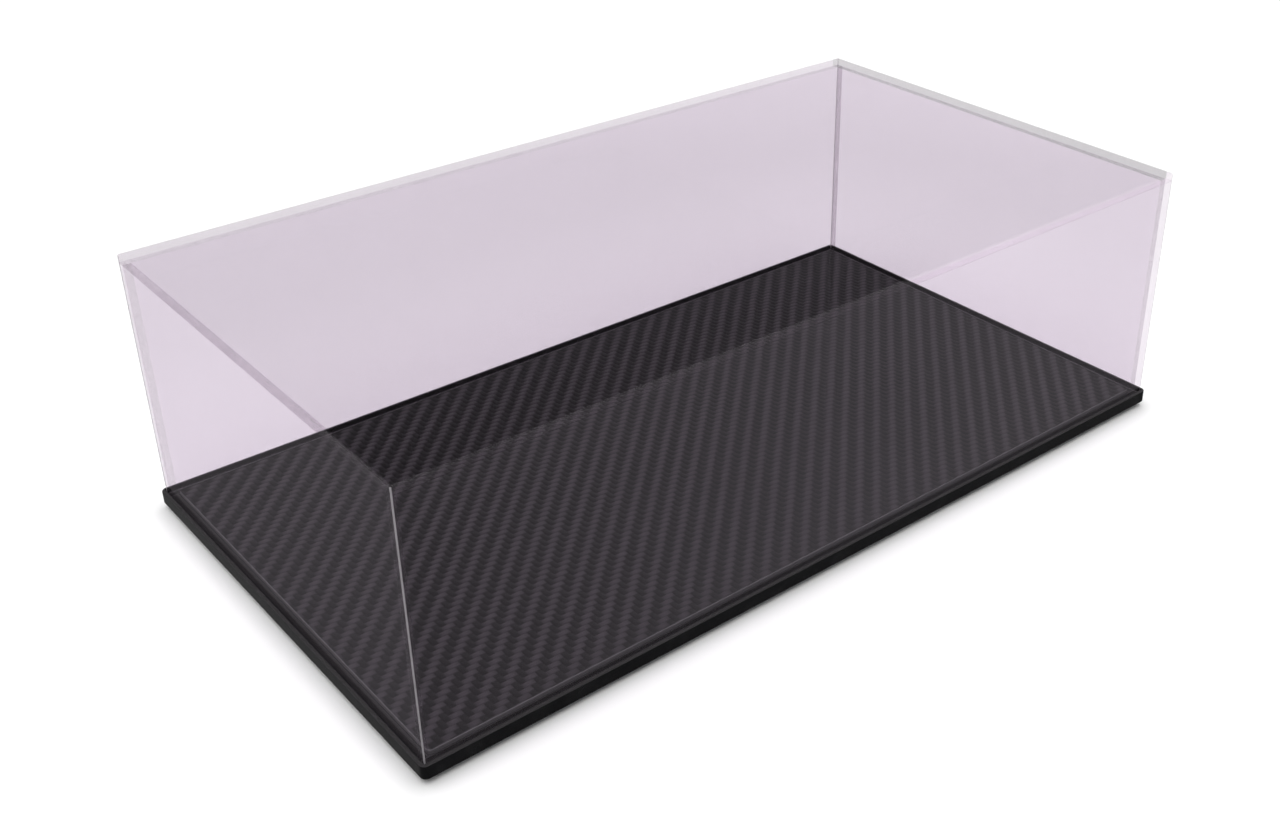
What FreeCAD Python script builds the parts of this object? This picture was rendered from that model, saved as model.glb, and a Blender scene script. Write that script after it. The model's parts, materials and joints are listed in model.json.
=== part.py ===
import FreeCAD, Part
import os

# A display case for a scale model. A clear dust cover, bonded from five flat acrylic panels, lifts
# straight off a black base. The base is a plate with four thin strips bonded along its edges as a lip and
# a carbon-fibre deck bonded inside them, level with the lip. The cover's walls stand in the gap between
# the lip and the deck, which keeps the cover in its place.
# X runs along the long side, +Y to the back and +Z up. The origin is on the surface that the feet
# stand on, under the middle of the case.

CASE_HEIGHT = 98.0  # from the feet to the top, in millimetres as everywhere below

# Base plate and its lip
BASE_LENGTH = 325.0
BASE_WIDTH = 180.0
BASE_THICKNESS = 5.0  # with the lip
BASE_CORNER_RADIUS = 2.0
BASE_EDGE_ROUND = 0.4
LIP_WIDTH = 1.2

# Dust cover
COVER_CLEARANCE = 0.3  # between the lip and the outside of the cover
PANEL_THICKNESS = 3.0
PANEL_ARRIS = 0.4  # polished bevel along the outer edges of the cover

# Carbon-fibre deck and the film that holds it
DECK_THICKNESS = 1.5
DECK_CLEARANCE = 0.3  # between the deck and the inside of the cover
DECK_CORNER_RADIUS = 1.5
DECK_ARRIS = 0.2
FILM_THICKNESS = 0.15
FILM_MARGIN = 1.0  # how far the film stays inside the deck's edge

# Stick-on feet
FOOT_HEIGHT = 2.0
FOOT_DIAMETER = 10.0  # where it sticks to the base plate
FOOT_TREAD_DIAMETER = 9.0  # at the bottom
FOOT_EDGE_ROUND = 0.5
FOOT_INSET = 13.0  # from the base plate's sides to the middle of a foot

# Heights that the pieces share
BASE_BOTTOM = FOOT_HEIGHT
BASE_TOP = BASE_BOTTOM + BASE_THICKNESS
DECK_TOP = BASE_TOP
DECK_BOTTOM = DECK_TOP - DECK_THICKNESS
PLATE_TOP = DECK_BOTTOM - FILM_THICKNESS
LIP_HEIGHT = BASE_TOP - PLATE_TOP
WALL_TOP = CASE_HEIGHT - PANEL_THICKNESS
WALL_HEIGHT = WALL_TOP - PLATE_TOP

# Lengths and widths that the pieces share
LENGTH_IN_LIP = BASE_LENGTH - 2 * LIP_WIDTH
WIDTH_IN_LIP = BASE_WIDTH - 2 * LIP_WIDTH
COVER_LENGTH = LENGTH_IN_LIP - 2 * COVER_CLEARANCE
COVER_WIDTH = WIDTH_IN_LIP - 2 * COVER_CLEARANCE
INSIDE_LENGTH = COVER_LENGTH - 2 * PANEL_THICKNESS
INSIDE_WIDTH = COVER_WIDTH - 2 * PANEL_THICKNESS
DECK_LENGTH = INSIDE_LENGTH - 2 * DECK_CLEARANCE
DECK_WIDTH = INSIDE_WIDTH - 2 * DECK_CLEARANCE

TOUCHING = 1e-4  # two places nearer than this are the same place

X_AXIS = FreeCAD.Vector(1, 0, 0)
Y_AXIS = FreeCAD.Vector(0, 1, 0)
Z_AXIS = FreeCAD.Vector(0, 0, 1)


def block(length, width, height, middle):
    """A square-edged block that rises from this point, the middle of its underside."""
    corner = middle - X_AXIS * length / 2 - Y_AXIS * width / 2
    return Part.makePlane(length, width, corner, Z_AXIS, X_AXIS).extrude(Z_AXIS * height)


def sheet(length, width, thickness, corner_radius, bottom):
    """A level sheet with rounded corners, centred on the Z axis, with its underside at this height."""
    blank = block(length, width, thickness, Z_AXIS * bottom)
    uprights = [edge for edge in blank.Edges if edge.BoundBox.ZLength > TOUCHING]
    return blank.makeFillet(corner_radius, uprights)


def edges_at_height(solid, height):
    """The edges of a solid that lie level at this height."""
    return [
        edge
        for edge in solid.Edges
        if edge.BoundBox.ZLength < TOUCHING and abs(edge.BoundBox.ZMin - height) < TOUCHING
    ]


def outer_planes_held(edge):
    """How many of the six outer faces of the cover an edge lies on along its whole length."""
    box = edge.BoundBox
    spans = (
        (box.XMin, box.XMax, -COVER_LENGTH / 2, COVER_LENGTH / 2),
        (box.YMin, box.YMax, -COVER_WIDTH / 2, COVER_WIDTH / 2),
        (box.ZMin, box.ZMax, PLATE_TOP, CASE_HEIGHT),
    )
    held = 0
    for low, high, first_plane, second_plane in spans:
        for plane in (first_plane, second_plane):
            if abs(low - plane) < TOUCHING and abs(high - plane) < TOUCHING:
                held += 1
    return held


def polished(panel):
    """A panel with the bevel that runs along all outer edges of the assembled cover.

    Edges that are bonded to another panel stay square.
    """
    outer_edges = [edge for edge in panel.Edges if outer_planes_held(edge) > 1]
    return panel.makeChamfer(PANEL_ARRIS, outer_edges)


def top_panel():
    """The top lies on all four walls and reaches to their outer faces."""
    return polished(block(COVER_LENGTH, COVER_WIDTH, PANEL_THICKNESS, Z_AXIS * WALL_TOP))


def long_wall(side):
    """The front (side -1) or back (side 1) wall, as long as the whole cover."""
    middle = FreeCAD.Vector(0, side * (COVER_WIDTH - PANEL_THICKNESS) / 2, PLATE_TOP)
    return polished(block(COVER_LENGTH, PANEL_THICKNESS, WALL_HEIGHT, middle))


def short_wall(side):
    """The left (side -1) or right (side 1) wall, fitted between the long walls."""
    middle = FreeCAD.Vector(side * (COVER_LENGTH - PANEL_THICKNESS) / 2, 0, PLATE_TOP)
    return polished(block(PANEL_THICKNESS, INSIDE_WIDTH, WALL_HEIGHT, middle))


def base_plate():
    """The black plate under the lip, with a small round along its lower edge."""
    plate = sheet(BASE_LENGTH, BASE_WIDTH, PLATE_TOP - BASE_BOTTOM, BASE_CORNER_RADIUS, BASE_BOTTOM)
    return plate.makeFillet(BASE_EDGE_ROUND, edges_at_height(plate, BASE_BOTTOM))


def lip_strip(length, width, middle):
    """One strip of the lip, flush with the base plate's sides and rounded along its upper outer edge."""
    outline = sheet(BASE_LENGTH, BASE_WIDTH, LIP_HEIGHT, BASE_CORNER_RADIUS, PLATE_TOP)
    outline = outline.makeFillet(BASE_EDGE_ROUND, edges_at_height(outline, BASE_TOP))
    return outline.common(block(length, width, LIP_HEIGHT, middle)).Solids[0]


def long_lip(side):
    """The strip along the front (side -1) or back (side 1) edge, as long as the base plate."""
    middle = FreeCAD.Vector(0, side * (BASE_WIDTH - LIP_WIDTH) / 2, PLATE_TOP)
    return lip_strip(BASE_LENGTH, LIP_WIDTH, middle)


def short_lip(side):
    """The strip along the left (side -1) or right (side 1) edge, fitted between the long strips."""
    middle = FreeCAD.Vector(side * (BASE_LENGTH - LIP_WIDTH) / 2, 0, PLATE_TOP)
    return lip_strip(LIP_WIDTH, WIDTH_IN_LIP, middle)


def carbon_deck():
    """The carbon-fibre plate that the model stands on, with its upper edge broken."""
    deck = sheet(DECK_LENGTH, DECK_WIDTH, DECK_THICKNESS, DECK_CORNER_RADIUS, DECK_BOTTOM)
    return deck.makeChamfer(DECK_ARRIS, edges_at_height(deck, DECK_TOP))


def deck_adhesive():
    """The double-sided film between the base plate and the deck."""
    length = DECK_LENGTH - 2 * FILM_MARGIN
    width = DECK_WIDTH - 2 * FILM_MARGIN
    return sheet(length, width, FILM_THICKNESS, DECK_CORNER_RADIUS, PLATE_TOP)


def foot(side_x, side_y):
    """A stick-on rubber foot, tapered to its tread, near one corner of the base plate."""
    bumper = Part.makeCone(FOOT_TREAD_DIAMETER / 2, FOOT_DIAMETER / 2, FOOT_HEIGHT)
    bumper = bumper.makeFillet(FOOT_EDGE_ROUND, edges_at_height(bumper, 0))
    bumper.translate(X_AXIS * side_x * (BASE_LENGTH / 2 - FOOT_INSET))
    bumper.translate(Y_AXIS * side_y * (BASE_WIDTH / 2 - FOOT_INSET))
    return bumper


def pieces():
    """Every piece of the case by its node's name."""
    made = {
        "top_panel": top_panel(),
        "front_panel": long_wall(-1),
        "back_panel": long_wall(1),
        "left_panel": short_wall(-1),
        "right_panel": short_wall(1),
        "base_plate": base_plate(),
        "lip_front": long_lip(-1),
        "lip_back": long_lip(1),
        "lip_left": short_lip(-1),
        "lip_right": short_lip(1),
        "carbon_deck": carbon_deck(),
        "deck_adhesive": deck_adhesive(),
    }
    for depth, side_y in (("front", -1), ("back", 1)):
        for hand, side_x in (("left", -1), ("right", 1)):
            made[f"foot_{depth}_{hand}"] = foot(side_x, side_y)
    return made


os.makedirs("parts", exist_ok=True)
for node, solid in pieces().items():
    solid.exportStep(f"parts/{node}.step")
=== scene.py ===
import json
import math

import bpy
from mathutils import Matrix, Vector


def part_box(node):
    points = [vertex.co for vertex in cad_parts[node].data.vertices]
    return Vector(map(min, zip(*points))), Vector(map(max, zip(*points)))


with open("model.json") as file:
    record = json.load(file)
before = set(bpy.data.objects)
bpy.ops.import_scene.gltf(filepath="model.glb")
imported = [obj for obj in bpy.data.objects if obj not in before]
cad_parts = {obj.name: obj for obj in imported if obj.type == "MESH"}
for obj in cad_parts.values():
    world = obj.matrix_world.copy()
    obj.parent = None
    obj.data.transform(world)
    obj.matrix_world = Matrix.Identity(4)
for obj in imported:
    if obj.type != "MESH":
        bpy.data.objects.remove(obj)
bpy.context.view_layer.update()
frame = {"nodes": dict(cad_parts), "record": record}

# How the values are given: lengths in metres, colours as linear red, green, blue and alpha, a noise as its
# cells per metre and its detail, a bump as its height and strength, and a mapping as two limits of a value
# and the two values that they become.
BLACK = (0, 0, 0, 1)
WHITE = (1, 1, 1, 1)
SQUARE_ON = 0.9  # a face looks along an axis where that part of its normal is over this
UPRIGHT = 0.1  # and stands upright where the height part is under this

# The photo's camera, fitted to the edges of the case. The image is 1280 by 835 pixels.
IMAGE_SIZE = (1280, 835)
FOCAL_LENGTH_PX = 1533.3
OPTICAL_AXIS_PX = (734.0, 368.6)  # where the lens axis meets the image
CAMERA_AT = Vector((-0.30152, -0.38337, 0.30714))
CAMERA_AZIMUTH = -40.494
CAMERA_ELEVATION = 29.079
CAMERA_ROLL = 0.291
SENSOR_WIDTH_MM = 36.0
NEAREST_SEEN = 0.01
FARTHEST_SEEN = 50.0

# Places on the cover, read from the frame
TOP_LOW, TOP_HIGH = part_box("top_panel")
LEFT_LOW, LEFT_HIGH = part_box("left_panel")
HALF_LENGTH = TOP_HIGH.x
HALF_WIDTH = TOP_HIGH.y
COVER_TOP = TOP_HIGH.z
WALL_TOP = TOP_LOW.z
WALL_FOOT = LEFT_LOW.z
HALF_INSIDE_LENGTH = -LEFT_HIGH.x
HALF_INSIDE_WIDTH = LEFT_HIGH.y
SEAM = 0.0002  # the cement stops this far below the cover's outer faces
ON_FACE = 0.00005  # a point nearer to a plane than this lies on it

# Clear acrylic. A tint is what one face lets through, apart from its mirror losses.
ACRYLIC_IOR = 1.49
WALL_TINT = (0.945, 0.920, 0.949, 1)
# The top panel is tinted darker than the walls, though it is the same sheet: painted shade.
TOP_TINT_AND_PAINTED_SHADE = (0.915, 0.890, 0.919, 1)
# The cut edges and bonds are tinted darker than the faces: partly the cut and the cement, partly painted
# shade for the dark that refraction gives them. There is least painted shade along the front and most at
# the top's right end.
PAINTED_SHADE_EDGE_TINT = (0.87, 0.845, 0.87, 1)  # of a cut edge or a bonded face
FRONT_PAINTED_SHADE_EDGE_TINT = (0.975, 0.95, 0.975, 1)  # of those along the front, which show least in the photo
RIGHT_PAINTED_SHADE_EDGE_TINT = (0.71, 0.71, 0.71, 1)  # of those at the top's right end, which show most
MIRROR_TINT = (0.98, 0.91, 0.99, 1)
BOTH_FACES = 1.85  # a panel's mirror loss, as a multiple of its first face's
MOST_MIRRORED = 0.15  # no more than this is mirrored at a glancing view
WIPE_MARKS = (35.0, 4.0)
SHEET_ROUGHNESS = (0.35, 0.75, 0.0, 0.03)
DARK_FROST = (0.45, 0.43, 0.45, 1)
LIGHT_FROST = (0.55, 0.53, 0.55, 1)
FROST_LET_THROUGH = 0.5
CUT_FROST = (0.3, 0.7, 0.0, 0.02)
LEVEL_BEVEL_FROST = 0.06
UPRIGHT_BEVEL_FROST = 0.55  # the upright corners show as pale lines
RIM_FROST = 0.75  # the walls' lower edges, as sawn
CEMENT = (0.2, 0.19, 0.2, 1)
CEMENT_SPECKS = (900.0, 3.0)
CEMENT_SHARE = (0.4, 0.7, 0.03, 0.1)
FRONT_CEMENT = 0.2  # how much of that share the front wall's bonds have

# Black acrylic
CLEAN_BLACK = (0.004, 0.004, 0.0045, 1)
DUSTY_BLACK = (0.009, 0.009, 0.0095, 1)
# The upper faces' colour is lighter by painted light, besides their sanding.
SANDED_BLACK_AND_PAINTED_LIGHT = (0.03, 0.028, 0.03, 1)
UPWARD_SLOPE = 0.3  # a face that looks up by more than this is rough from sanding, and painted lighter as painted light
SANDED_ROUGHNESS = 0.5
BLACK_SPECULAR = 0.15
BLACK_WIPE_MARKS = (28.0, 5.0)
BLACK_FACE_ROUGHNESS = (0.35, 0.7, 0.05, 0.11)
DUST = (160.0, 3.0)
DUST_SHARE = (0.5, 0.8, 0.0, 1.0)
SAW_MARKS = (2500.0, 2.0)
SAW_MARK_STRETCH = 0.05  # the noise changes only this fast in height, so the marks run upright
SAWN_ROUGHNESS = (0.3, 0.7, 0.12, 0.2)
SAW_MARK_BUMP = (0.00002, 0.4)

# Carbon cloth: a 2x2 twill of 3K tows, 12 to the inch
TOW_WIDTH = 0.0254 / 12
TWILL_REPEAT = 4  # tows
FLOAT_LENGTH = 2  # tows that each tow passes over
CROSSWISE_START = 1  # tows into the repeat where a crosswise float begins
TOW_MIDDLE = 0.5  # tows
TOW_SQUARENESS = 3.0  # the power of the tow's crowned section
FIBRES = (1.0, 3.0)  # a noise in tow widths, which the next two values stretch into fibres
FIBRE_LENGTHWISE = 0.5
FIBRE_ACROSS = 14.0
# Tows are darker towards their edges and the ends of their floats: partly resin in the gaps, partly
# painted shade where the tow dips under.
CROWN_PAINTED_SHADE_AND_RESIN = (0.0, 1.0, 0.5, 1.0)
FIBRE_SHADE = (0.25, 0.75, 0.8, 1.2)
TOW_SHADE = (0.0, 1.0, 0.92, 1.08)
# Lengthwise tows are painted lighter and crosswise ones darker: a painted sheen, as the light catches the
# tows of one way.
CROSSWISE_PAINTED_SHADE = 0.22
LENGTHWISE_PAINTED_SHEEN = 1.78
FULL_SHADE = 2.0  # the shade that has the whole tow colour
TOW_COLOUR = (0.047, 0.041, 0.048, 1)
FIBRE_ROUGHNESS = (0.3, 0.7, 0.3, 0.42)
FIBRE_ANISOTROPY = 0.7
CROWN_RELIEF = 0.9
FIBRE_RELIEF = 0.1
WEAVE_BUMP = (0.00012, 0.6)
COAT_ROUGHNESS = 0.03
COAT_IOR = 1.5
PLY_THICKNESS = 0.00025
DARK_PLY = (0.08, 0.077, 0.08, 1)
LIGHT_PLY = (0.2, 0.192, 0.2, 1)
CUT_PLY_ROUGHNESS = 0.6

# Adhesive film
FILM_GRAIN = (600.0, 3.0)
DARK_FILM = (0.45, 0.43, 0.38, 1)
LIGHT_FILM = (0.62, 0.6, 0.54, 1)
FILM_ROUGHNESS = (0.3, 0.7, 0.5, 0.75)

# Rubber feet
RUBBER_GRAIN = (2200.0, 4.0)
RUBBER_BUMP = (0.00003, 0.6)
SCUFFS = (180.0, 3.0)
CLEAN_RUBBER = (0.012, 0.012, 0.012, 1)
SCUFFED_RUBBER = (0.035, 0.034, 0.033, 1)
RUBBER_ROUGHNESS = (0.3, 0.7, 0.65, 0.9)

# The floor glows round the case like a light table, which fills up most of the case's shadow
FLOOR_SIZE = 60.0
BASE_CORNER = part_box("base_plate")[1]
FLOOR_GLOW = 0.1
GLOW_RAMP = 0.012  # the glow is full this far from the base
GLOW_REACH = 0.12  # and gone this far from it
MOTTLE = (6.0, 3.0)
DARK_FLOOR = (0.90, 0.90, 0.90, 1)
LIGHT_FLOOR = (0.92, 0.92, 0.92, 1)
FLOOR_ROUGHNESS = 0.9

# The room: its light by the upward part of a direction, and below the horizon by its leftward part
HORIZON = -0.02
LIGHT_ABOVE = (0.2, 0.36, 1.0, 0.03)
LIGHT_BELOW = (-0.8, 0.8, 0.19, 0.21)
LEFTWARD = (-0.66, 0.75)  # about, in the photo's view

# Lamps
CEILING_FROM = Vector((-0.05, 0.05, 1.0))
CEILING_SPREAD = math.radians(100)
CEILING_ENERGY = 3.4
SOFTBOX_FROM = Vector((0.567, 0.2, 0.8))
SOFTBOX_DISTANCE = 1.4
SOFTBOX_SIZE = (0.7, 0.5)
SOFTBOX_ENERGY = 1.4

PANES_IN_A_ROW = 48  # faces of clear sheet that one ray may pass


class Shader:
    """The nodes of one material or world, added by short calls that return what the node gives."""

    def __init__(self, owner):
        owner.use_nodes = True
        self.tree = owner.node_tree
        self.tree.nodes.clear()

    def node(self, kind, inputs=(), **settings):
        made = self.tree.nodes.new("ShaderNode" + kind)
        for name, value in settings.items():
            setattr(made, name, value)
        for name, value in dict(inputs).items():
            self.feed(made.inputs[name], value)
        return made

    def feed(self, socket, value):
        if isinstance(value, bpy.types.NodeSocket):
            self.tree.links.new(value, socket)
        else:
            socket.default_value = value

    def maths(self, operation, *values):
        made = self.node("Math", operation=operation)
        for socket, value in zip(made.inputs, values):
            self.feed(socket, value)
        return made.outputs[0]

    def plus(self, first, second):
        return self.maths("ADD", first, second)

    def minus(self, first, second):
        return self.maths("SUBTRACT", first, second)

    def times(self, first, second):
        return self.maths("MULTIPLY", first, second)

    def magnitude(self, value):
        return self.maths("ABSOLUTE", value)

    def over(self, value, limit):
        """1 where the value is greater than the limit, and 0 elsewhere."""
        return self.maths("GREATER_THAN", value, limit)

    def under(self, value, limit):
        """1 where the value is less than the limit, and 0 elsewhere."""
        return self.maths("LESS_THAN", value, limit)

    def all_of(self, operation, first, *others):
        """One operation carried through several values, such as the smallest of them."""
        for other in others:
            first = self.maths(operation, first, other)
        return first

    def position(self):
        """The three coordinates of the CAD frame, which stay with the piece as its body moves."""
        parts = self.node("SeparateXYZ", {"Vector": self.node("TexCoord").outputs["Object"]})
        return parts.outputs

    def place(self):
        """The same coordinates as one vector."""
        return self.vector(*self.position())

    def normal(self):
        parts = self.node("SeparateXYZ", {"Vector": self.node("TexCoord").outputs["Normal"]})
        return parts.outputs

    def facing(self):
        """How squarely the face looks along each axis, either way."""
        return [self.magnitude(part) for part in self.normal()]

    def vector(self, x, y, z):
        return self.node("CombineXYZ", {"X": x, "Y": y, "Z": z}).outputs[0]

    def noise(self, place, scale, detail):
        made = self.node("TexNoise", {"Vector": place, "Scale": scale, "Detail": detail})
        return made.outputs["Fac"]

    def spread(self, value, low, high, to_low, to_high):
        """A value between two limits, mapped to between two others and held there."""
        made = self.node("MapRange")
        for socket, limit in zip(made.inputs, (value, low, high, to_low, to_high)):
            self.feed(socket, limit)
        return made.outputs[0]

    def choose(self, share, first, second):
        """The first number where share is 0 and the second where it is 1."""
        return self.spread(share, 0, 1, first, second)

    def choose_colour(self, share, first, second):
        made = self.node("Mix", data_type="RGBA")
        colours = [socket for socket in made.inputs if socket.type == "RGBA"]
        for socket, value in zip((made.inputs[0], *colours), (share, first, second)):
            self.feed(socket, value)
        return next(socket for socket in made.outputs if socket.type == "RGBA")

    def bump(self, height, distance, strength):
        inputs = {"Height": height, "Distance": distance, "Strength": strength}
        return self.node("Bump", inputs).outputs[0]

    def shader(self, kind, inputs):
        return self.node("Bsdf" + kind, inputs).outputs[0]

    def blend(self, share, first, second):
        made = self.node("MixShader")
        for socket, value in zip(made.inputs, (share, first, second)):
            self.feed(socket, value)
        return made.outputs[0]

    def surface(self, shader):
        self.node("OutputMaterial", {"Surface": shader})


def new_material(name):
    material = bpy.data.materials.new(name)
    return material, Shader(material)


def bonded_faces(s):
    """1 where a panel is cemented to another: inside the cover's outer faces, outside its inner ones."""
    x, y, z = s.position()
    far_x = s.magnitude(x)
    far_y = s.magnitude(y)
    depth = s.all_of(
        "MINIMUM",
        s.minus(HALF_LENGTH, far_x),
        s.minus(HALF_WIDTH, far_y),
        s.minus(COVER_TOP, z),
        s.minus(z, WALL_FOOT),
    )
    beyond_inside = s.all_of(
        "MAXIMUM",
        s.minus(far_x, HALF_INSIDE_LENGTH),
        s.minus(far_y, HALF_INSIDE_WIDTH),
        s.minus(z, WALL_TOP),
    )
    return s.times(s.over(depth, SEAM + ON_FACE), s.over(beyond_inside, ON_FACE))


def lower_rim(s):
    """1 on the edges that the walls stand on."""
    return s.under(s.position()[2], WALL_FOOT + ON_FACE)


def cut_edges(s):
    """1 on the cut edges: round the top, at the ends of the long walls and along the lower rim."""
    x, y, z = s.position()
    top_edge = s.times(s.under(s.facing()[2], SQUARE_ON), s.over(z, WALL_TOP))
    at_end = s.over(s.magnitude(x), HALF_LENGTH - ON_FACE)
    long_wall_end = s.times(at_end, s.over(s.magnitude(y), HALF_INSIDE_WIDTH))
    return s.all_of("MAXIMUM", top_edge, long_wall_end, lower_rim(s))


def on_top(s):
    """1 on all faces of the top panel and on the upper ends of the walls."""
    return s.over(s.position()[2], WALL_TOP - ON_FACE)


def at_front(s):
    """1 within the thickness of the front wall."""
    return s.under(s.position()[1], -HALF_INSIDE_WIDTH - ON_FACE)


def painted_shade_edge_tints(s):
    """What the cut edges and bonded faces let through, by the side that they are on, with painted shade
    that is darkest at the top's right end.
    """
    at_right = s.times(on_top(s), s.over(s.position()[0], HALF_INSIDE_LENGTH))
    far_edges = s.choose_colour(at_right, PAINTED_SHADE_EDGE_TINT, RIGHT_PAINTED_SHADE_EDGE_TINT)
    return s.choose_colour(at_front(s), far_edges, FRONT_PAINTED_SHADE_EDGE_TINT)


def polished_sheet(s, wiped, edges, painted_shade_edge_tint):
    """See-through sheet that mirrors a little on the side that a ray enters."""
    outside = s.minus(1.0, s.node("NewGeometry").outputs["Backfacing"])
    mirror = s.times(s.node("Fresnel", {"IOR": ACRYLIC_IOR}).outputs[0], BOTH_FACES)
    mirror = s.maths("MINIMUM", mirror, MOST_MIRRORED)
    # The top's tint carries painted shade.
    face_tint_and_painted_shade = s.choose_colour(on_top(s), WALL_TINT, TOP_TINT_AND_PAINTED_SHADE)
    clear = s.shader("Transparent", {"Color": s.choose_colour(edges, face_tint_and_painted_shade, painted_shade_edge_tint)})
    gloss = s.shader("Glossy", {"Color": MIRROR_TINT, "Roughness": s.spread(wiped, *SHEET_ROUGHNESS)})
    return s.blend(s.times(mirror, outside), clear, gloss)


def frosted_sheet(s, wiped):
    colour = s.choose_colour(wiped, DARK_FROST, LIGHT_FROST)
    lit = s.shader("Diffuse", {"Color": colour})
    let_through = s.shader("Translucent", {"Color": colour})
    return s.blend(FROST_LET_THROUGH, lit, let_through)


def frost_share(s, wiped, edges):
    """How frosted the sheet is: a trace on cut edges, more on the bevels and most on the lower rim."""
    facing = s.facing()
    bevel = s.under(s.all_of("MAXIMUM", *facing), SQUARE_ON)
    on_bevel = s.choose(s.under(facing[2], UPRIGHT), LEVEL_BEVEL_FROST, UPRIGHT_BEVEL_FROST)
    return s.all_of(
        "MAXIMUM",
        s.times(edges, s.spread(wiped, *CUT_FROST)),
        s.times(bevel, on_bevel),
        s.times(lower_rim(s), RIM_FROST),
    )


def cement_bond(s, painted_shade_edge_tint):
    """Sheet that runs on into the next panel, with a trace of cement."""
    cement = s.spread(s.noise(s.place(), *CEMENT_SPECKS), *CEMENT_SHARE)
    cement = s.times(cement, s.choose(at_front(s), 1.0, FRONT_CEMENT))
    # The bond lets through the edge tint, with its painted shade.
    clear = s.shader("Transparent", {"Color": painted_shade_edge_tint})
    return s.blend(cement, clear, s.shader("Diffuse", {"Color": CEMENT}))


def clear_acrylic():
    """Polished sheet with a faint violet cast, tinted cut edges, frosted bevels and cemented bonds.

    It casts no shadow.
    """
    material, s = new_material("clear_acrylic")
    wiped = s.noise(s.place(), *WIPE_MARKS)
    edges = cut_edges(s)
    painted_shade_edge_tint = painted_shade_edge_tints(s)
    sheet = polished_sheet(s, wiped, edges, painted_shade_edge_tint)
    open_faces = s.blend(frost_share(s, wiped, edges), sheet, frosted_sheet(s, wiped))
    seen = s.blend(bonded_faces(s), open_faces, cement_bond(s, painted_shade_edge_tint))
    open_air = s.shader("Transparent", {"Color": WHITE})
    s.surface(s.blend(s.node("LightPath").outputs["Is Shadow Ray"], seen, open_air))
    return material


def black_acrylic():
    """Gloss black sheet. Its sawn sides have fine upright saw marks, and its upper faces are rough from
    sanding and painted lighter, as painted light.
    """
    material, s = new_material("black_acrylic")
    x, y, z = s.position()
    upward = s.normal()[2]
    side = s.under(s.magnitude(upward), UPRIGHT)
    # Faces that look up are rougher, and painted lighter as painted light.
    sanded_and_painted_light = s.over(upward, UPWARD_SLOPE)
    round_the_edge = s.plus(x, y)
    saw_marks = s.noise(s.vector(round_the_edge, 0.0, s.times(z, SAW_MARK_STRETCH)), *SAW_MARKS)
    face_roughness = s.spread(s.noise(s.place(), *BLACK_WIPE_MARKS), *BLACK_FACE_ROUGHNESS)
    roughness = s.choose(side, face_roughness, s.spread(saw_marks, *SAWN_ROUGHNESS))
    dust = s.spread(s.noise(s.place(), *DUST), *DUST_SHARE)
    gloss_black = s.choose_colour(dust, CLEAN_BLACK, DUSTY_BLACK)
    sheet = s.shader(
        "Principled",
        {
            "Base Color": s.choose_colour(sanded_and_painted_light, gloss_black, SANDED_BLACK_AND_PAINTED_LIGHT),
            "Roughness": s.choose(sanded_and_painted_light, roughness, SANDED_ROUGHNESS),
            "IOR": ACRYLIC_IOR,
            "Specular IOR Level": BLACK_SPECULAR,
            "Normal": s.bump(s.times(side, saw_marks), *SAW_MARK_BUMP),
        },
    )
    s.surface(sheet)
    return material


def twill(s):
    """The weave seen from above: where the upper tow runs lengthwise, its crown, fibres and own shade."""
    x, y = s.position()[:2]
    across_length = s.maths("DIVIDE", x, TOW_WIDTH)
    across_width = s.maths("DIVIDE", y, TOW_WIDTH)
    column = s.maths("FLOOR", across_length)
    row = s.maths("FLOOR", across_width)
    along_x = s.maths("FLOORED_MODULO", s.minus(across_length, row), TWILL_REPEAT)
    along_y = s.maths("FLOORED_MODULO", s.minus(across_width, column), TWILL_REPEAT)
    lengthwise = s.under(along_x, FLOAT_LENGTH)
    crosswise = s.minus(1.0, lengthwise)

    def of_upper_tow(if_lengthwise, if_crosswise):
        return s.plus(s.times(lengthwise, if_lengthwise), s.times(crosswise, if_crosswise))

    along = of_upper_tow(along_x, s.minus(along_y, CROSSWISE_START))
    across = of_upper_tow(s.minus(across_width, row), s.minus(across_length, column))
    across = s.minus(across, TOW_MIDDLE)
    crown_along = s.maths("SINE", s.times(along, math.pi / FLOAT_LENGTH))
    from_ridge = s.magnitude(s.maths("DIVIDE", across, TOW_MIDDLE))
    crown_across = s.minus(1.0, s.maths("POWER", from_ridge, TOW_SQUARENESS))
    crown = s.times(crown_along, crown_across)

    tow_along = of_upper_tow(across_length, across_width)
    tow_across = of_upper_tow(across_width, across_length)
    fibre_along = s.times(tow_along, FIBRE_LENGTHWISE)
    fibre_across = s.times(tow_across, FIBRE_ACROSS)
    fibres = s.noise(s.vector(fibre_along, fibre_across, lengthwise), *FIBRES)
    tow_number = s.vector(s.maths("FLOOR", tow_across), lengthwise, 0.0)
    own_shade = s.node("TexWhiteNoise", {"Vector": tow_number}).outputs["Value"]
    return lengthwise, crown, fibres, own_shade


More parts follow.
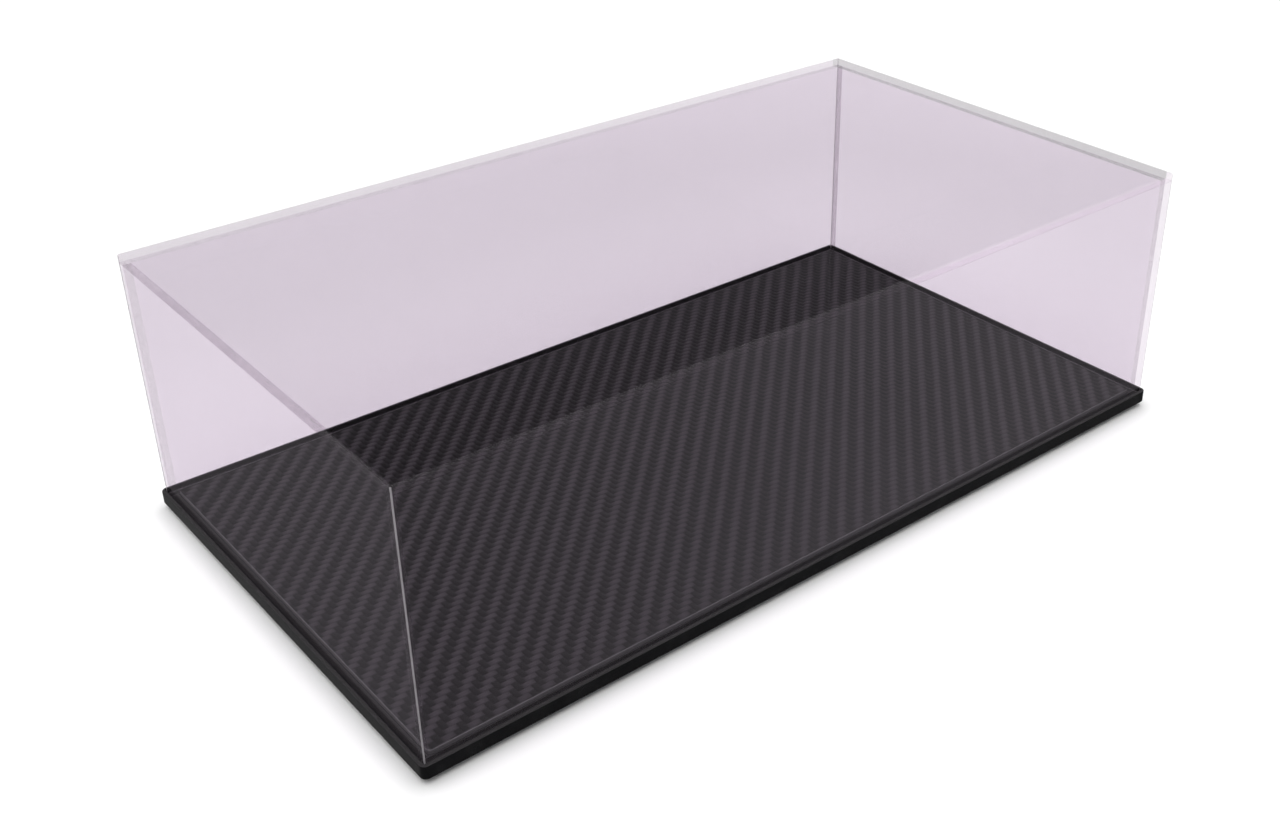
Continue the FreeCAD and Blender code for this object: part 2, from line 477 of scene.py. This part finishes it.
def carbon_laminate():
    """A 2x2 twill under a smooth clear coat, with the plies showing on its cut sides."""
    material, s = new_material("carbon_laminate")
    lengthwise, crown, fibres, own_shade = twill(s)
    # The tow colour holds painted light: a painted sheen on the lengthwise tows and painted shade where
    # the tows dip.
    shade = s.all_of(
        "MULTIPLY",
        s.spread(crown, *CROWN_PAINTED_SHADE_AND_RESIN),
        s.spread(fibres, *FIBRE_SHADE),
        s.spread(own_shade, *TOW_SHADE),
        s.choose(lengthwise, CROSSWISE_PAINTED_SHADE, LENGTHWISE_PAINTED_SHEEN),
    )
    top_colour = s.choose_colour(s.times(shade, 1.0 / FULL_SHADE), BLACK, TOW_COLOUR)
    cut = s.under(s.normal()[2], SQUARE_ON)
    plies = s.maths("PINGPONG", s.maths("DIVIDE", s.position()[2], PLY_THICKNESS), 1.0)
    cut_colour = s.choose_colour(plies, DARK_PLY, LIGHT_PLY)
    height = s.plus(s.times(crown, CROWN_RELIEF), s.times(fibres, FIBRE_RELIEF))
    laminate = s.shader(
        "Principled",
        {
            "Base Color": s.choose_colour(cut, top_colour, cut_colour),
            "Roughness": s.choose(cut, s.spread(fibres, *FIBRE_ROUGHNESS), CUT_PLY_ROUGHNESS),
            "Anisotropic": FIBRE_ANISOTROPY,
            "Tangent": s.vector(lengthwise, s.minus(1.0, lengthwise), 0.0),
            "Normal": s.bump(height, *WEAVE_BUMP),
            "Coat Weight": s.choose(cut, 1.0, 0.0),
            "Coat Roughness": COAT_ROUGHNESS,
            "Coat IOR": COAT_IOR,
        },
    )
    s.surface(laminate)
    return material


def adhesive_film():
    material, s = new_material("adhesive_film")
    grain = s.noise(s.place(), *FILM_GRAIN)
    film = s.shader(
        "Principled",
        {
            "Base Color": s.choose_colour(grain, DARK_FILM, LIGHT_FILM),
            "Roughness": s.spread(grain, *FILM_ROUGHNESS),
        },
    )
    s.surface(film)
    return material


def foot_rubber():
    material, s = new_material("foot_rubber")
    grain = s.noise(s.place(), *RUBBER_GRAIN)
    scuff = s.noise(s.place(), *SCUFFS)
    rubber = s.shader(
        "Principled",
        {
            "Base Color": s.choose_colour(scuff, CLEAN_RUBBER, SCUFFED_RUBBER),
            "Roughness": s.spread(scuff, *RUBBER_ROUGHNESS),
            "Normal": s.bump(grain, *RUBBER_BUMP),
        },
    )
    s.surface(rubber)
    return material


def floor_paint():
    """Pale paint that glows a little in a ring round the base."""
    material, s = new_material("floor_paint")
    x, y = s.position()[:2]
    from_base = s.maths(
        "MAXIMUM",
        s.minus(s.magnitude(x), BASE_CORNER.x),
        s.minus(s.magnitude(y), BASE_CORNER.y),
    )
    rising = s.spread(from_base, 0.0, GLOW_RAMP, 0.0, FLOOR_GLOW)
    fading = s.spread(from_base, GLOW_RAMP, GLOW_REACH, 1.0, 0.0)
    paint = s.shader(
        "Principled",
        {
            "Base Color": s.choose_colour(s.noise(s.place(), *MOTTLE), DARK_FLOOR, LIGHT_FLOOR),
            "Roughness": FLOOR_ROUGHNESS,
            "Emission Color": WHITE,
            "Emission Strength": s.times(rising, fading),
        },
    )
    s.surface(paint)
    material.cycles.emission_sampling = "NONE"
    return material


def floor():
    """A plain floor. Mirror rays pass it by, as the black base shows a dark room in its sides."""
    half = FLOOR_SIZE / 2
    corners = [(-half, -half, 0), (half, -half, 0), (half, half, 0), (-half, half, 0)]
    mesh = bpy.data.meshes.new("floor")
    mesh.from_pydata(corners, [], [(0, 1, 2, 3)])
    mesh.materials.append(floor_paint())
    plane = bpy.data.objects.new("floor", mesh)
    bpy.context.scene.collection.objects.link(plane)
    plane.visible_glossy = False


def room():
    """A pale band round the horizon in an otherwise dark room, so that the clear panels mirror little."""
    world = bpy.data.worlds.new("room")
    bpy.context.scene.world = world
    s = Shader(world)
    x, y, z = s.node("SeparateXYZ", {"Vector": s.node("TexCoord").outputs["Generated"]}).outputs
    leftwards = s.plus(s.times(x, LEFTWARD[0]), s.times(y, LEFTWARD[1]))
    light = s.choose(s.over(z, HORIZON), s.spread(leftwards, *LIGHT_BELOW), s.spread(z, *LIGHT_ABOVE))
    background = s.node("Background", {"Color": WHITE, "Strength": light})
    s.node("OutputWorld", {"Surface": background.outputs[0]})


def ceiling_light():
    """A wide soft light from above, which nothing mirrors."""
    light = bpy.data.lights.new("ceiling_light", "SUN")
    light.angle = CEILING_SPREAD
    light.energy = CEILING_ENERGY
    lamp = bpy.data.objects.new("ceiling_light", light)
    bpy.context.scene.collection.objects.link(lamp)
    lamp.rotation_euler = CEILING_FROM.to_track_quat("Z", "Y").to_euler()
    lamp.visible_glossy = False


def side_softbox():
    """A softbox high up on the right."""
    light = bpy.data.lights.new("side_softbox", "AREA")
    light.shape = "RECTANGLE"
    light.size, light.size_y = SOFTBOX_SIZE
    light.energy = SOFTBOX_ENERGY
    lamp = bpy.data.objects.new("side_softbox", light)
    bpy.context.scene.collection.objects.link(lamp)
    way = SOFTBOX_FROM.normalized()
    lamp.location = way * SOFTBOX_DISTANCE
    lamp.rotation_euler = way.to_track_quat("Z", "Y").to_euler()


def camera():
    lens = bpy.data.cameras.new("photo_camera")
    lens.sensor_fit = "HORIZONTAL"
    lens.sensor_width = SENSOR_WIDTH_MM
    lens.lens = FOCAL_LENGTH_PX / IMAGE_SIZE[0] * SENSOR_WIDTH_MM
    lens.shift_x = (IMAGE_SIZE[0] / 2 - OPTICAL_AXIS_PX[0]) / IMAGE_SIZE[0]
    lens.shift_y = (OPTICAL_AXIS_PX[1] - IMAGE_SIZE[1] / 2) / IMAGE_SIZE[0]
    lens.clip_start = NEAREST_SEEN
    lens.clip_end = FARTHEST_SEEN
    azimuth, elevation, roll = (
        math.radians(angle) for angle in (CAMERA_AZIMUTH, CAMERA_ELEVATION, CAMERA_ROLL)
    )
    back = Vector(
        (
            math.sin(azimuth) * math.cos(elevation),
            -math.cos(azimuth) * math.cos(elevation),
            math.sin(elevation),
        )
    )
    level_right = Vector((0, 0, 1)).cross(back).normalized()
    level_up = back.cross(level_right)
    right = level_right * math.cos(roll) + level_up * math.sin(roll)
    up = back.cross(right)
    eye = bpy.data.objects.new("photo_camera", lens)
    bpy.context.scene.collection.objects.link(eye)
    turn = Matrix((right, up, back)).transposed()
    eye.matrix_world = Matrix.Translation(CAMERA_AT) @ turn.to_4x4()
    bpy.context.scene.camera = eye


def dress():
    """Gives every CAD node the material that its slot in the record names."""
    made = {
        "clear_acrylic": clear_acrylic(),
        "black_acrylic": black_acrylic(),
        "carbon_laminate": carbon_laminate(),
        "adhesive_film": adhesive_film(),
        "foot_rubber": foot_rubber(),
    }
    for part in frame["record"]["subparts"]:
        piece = frame["nodes"][part["node"]]
        piece.data.materials.clear()
        piece.data.materials.append(made[part["material_slot"]])


def rendering():
    """Light paths long enough for many panes in a row, and no caustics."""
    scene = bpy.context.scene
    scene.view_settings.view_transform = "Standard"
    scene.cycles.transparent_max_bounces = PANES_IN_A_ROW
    scene.cycles.caustics_refractive = False
    scene.cycles.caustics_reflective = False


dress()
floor()
room()
ceiling_light()
side_softbox()
camera()
rendering()
